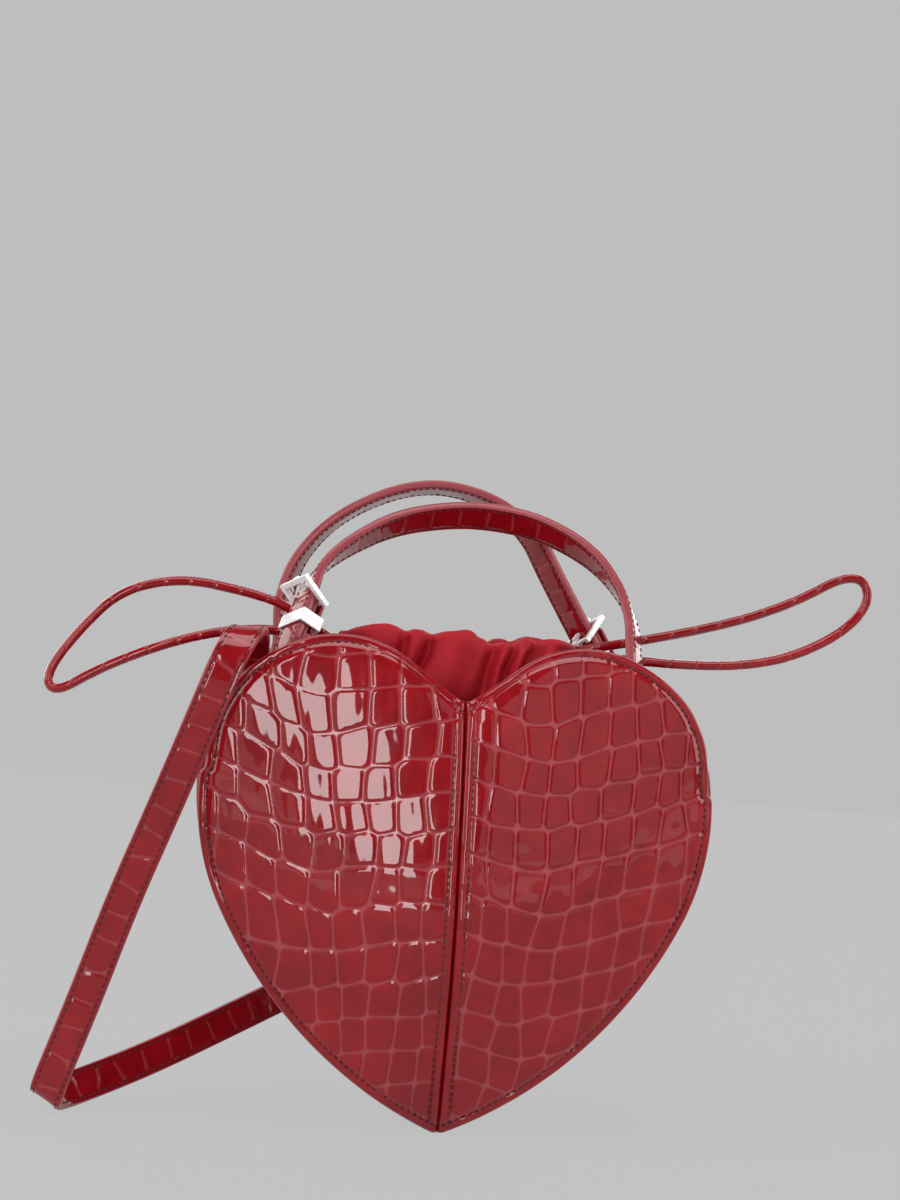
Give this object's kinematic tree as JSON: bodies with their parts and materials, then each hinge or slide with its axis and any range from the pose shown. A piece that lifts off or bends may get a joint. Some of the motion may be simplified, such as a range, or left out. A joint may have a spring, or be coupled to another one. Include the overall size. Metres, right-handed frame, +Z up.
{
  "type": "heart shaped purse",
  "caption": "Heart-shaped purse in croc-embossed patent leather: ridged heart faces, set-in gusset, gathered drawstring pouch, buckled swinging handles and a shoulder strap",
  "frame": {"origin": "the tip of the heart, on the middle plane of the bag, where a display stand or a table takes the point", "axes": "+X to the right seen from the front, +Y from the front heart to the back heart, +Z up through the notch to the handles"},
  "size_m": [0.335, 0.1335, 0.2571],
  "materials": {
    "patent_leather": "glossy red patent leather, embossed with crocodile scales, with rose-red painted edges",
    "stiffener": "plain pressed fibre board",
    "lining_cloth": "plain matte red cloth",
    "pouch_cloth": "matte red woven cloth, gathered",
    "white_metal": "polished white metal"
  },
  "bodies": {
    "bag": {"front_left_panel": "patent_leather", "front_right_panel": "patent_leather", "back_left_panel": "patent_leather", "back_right_panel": "patent_leather", "front_board": "stiffener", "back_board": "stiffener", "front_lining": "lining_cloth", "back_lining": "lining_cloth", "left_gusset": "patent_leather", "right_gusset": "patent_leather", "left_gusset_lining": "lining_cloth", "right_gusset_lining": "lining_cloth", "drawstring_pouch": "pouch_cloth", "front_cord_channel": "pouch_cloth", "rear_cord_channel": "pouch_cloth", "front_left_anchor": "patent_leather", "front_right_anchor": "patent_leather", "rear_left_anchor": "patent_leather", "rear_right_anchor": "patent_leather", "shoulder_strap_outer": "patent_leather", "shoulder_strap_lining": "patent_leather"},
    "front_handle": {"front_handle_outer": "patent_leather", "front_handle_lining": "patent_leather", "front_buckle_tab": "patent_leather", "front_buckle_pin": "white_metal", "front_buckle_frame": "white_metal"},
    "rear_handle": {"rear_handle_outer": "patent_leather", "rear_handle_lining": "patent_leather", "rear_buckle_tab": "patent_leather", "rear_buckle_pin": "white_metal", "rear_buckle_frame": "white_metal"},
    "front_prong": {"front_buckle_prong": "white_metal"},
    "rear_prong": {"rear_buckle_prong": "white_metal"},
    "front_keeper": {"front_buckle_keeper": "white_metal"},
    "rear_keeper": {"rear_buckle_keeper": "white_metal"},
    "left_cord": {"left_drawcord": "patent_leather"},
    "right_cord": {"right_drawcord": "patent_leather"}
  },
  "joints": [
    {"name": "front_handle_swing", "type": "hinge", "parent": "bag", "child": "front_handle", "pos_m": [0.069, -0.02, 0.186], "axis": [0.9998, -0.0106, 0.0144], "range_deg": [-1, 50]},
    {"name": "rear_handle_swing", "type": "hinge", "parent": "bag", "child": "rear_handle", "pos_m": [-0.07, 0.0219, 0.186], "axis": [0.9968, -0.0236, -0.077], "range_deg": [-5, 1]},
    {"name": "front_prong_tilt", "type": "hinge", "parent": "front_handle", "child": "front_prong", "pos_m": [-0.06043, -0.00914, 0.20177], "axis": [-0.5038, 0.8233, -0.2614], "range_deg": [0, 10]},
    {"name": "rear_prong_tilt", "type": "hinge", "parent": "rear_handle", "child": "rear_prong", "pos_m": [0.05186, 0.02069, 0.19383], "axis": [0.4234, -0.8408, 0.3373], "range_deg": [0, 10]},
    {"name": "front_keeper_slide", "type": "slide", "parent": "front_handle", "child": "front_keeper", "axis": [0.2953, 0.4485, 0.8436], "range_m": [-0.003, 0.001]},
    {"name": "rear_keeper_slide", "type": "slide", "parent": "rear_handle", "child": "rear_keeper", "axis": [-0.5023, 0.0919, 0.8598], "range_m": [-0.001, 0.001]},
    {"name": "left_drawcord_pull", "type": "slide", "parent": "bag", "child": "left_cord", "axis": [-1, 0, 0], "range_m": [0, 0.008]},
    {"name": "right_drawcord_pull", "type": "slide", "parent": "bag", "child": "right_cord", "axis": [1, 0, 0], "range_m": [0, 0.008]}
  ]
}
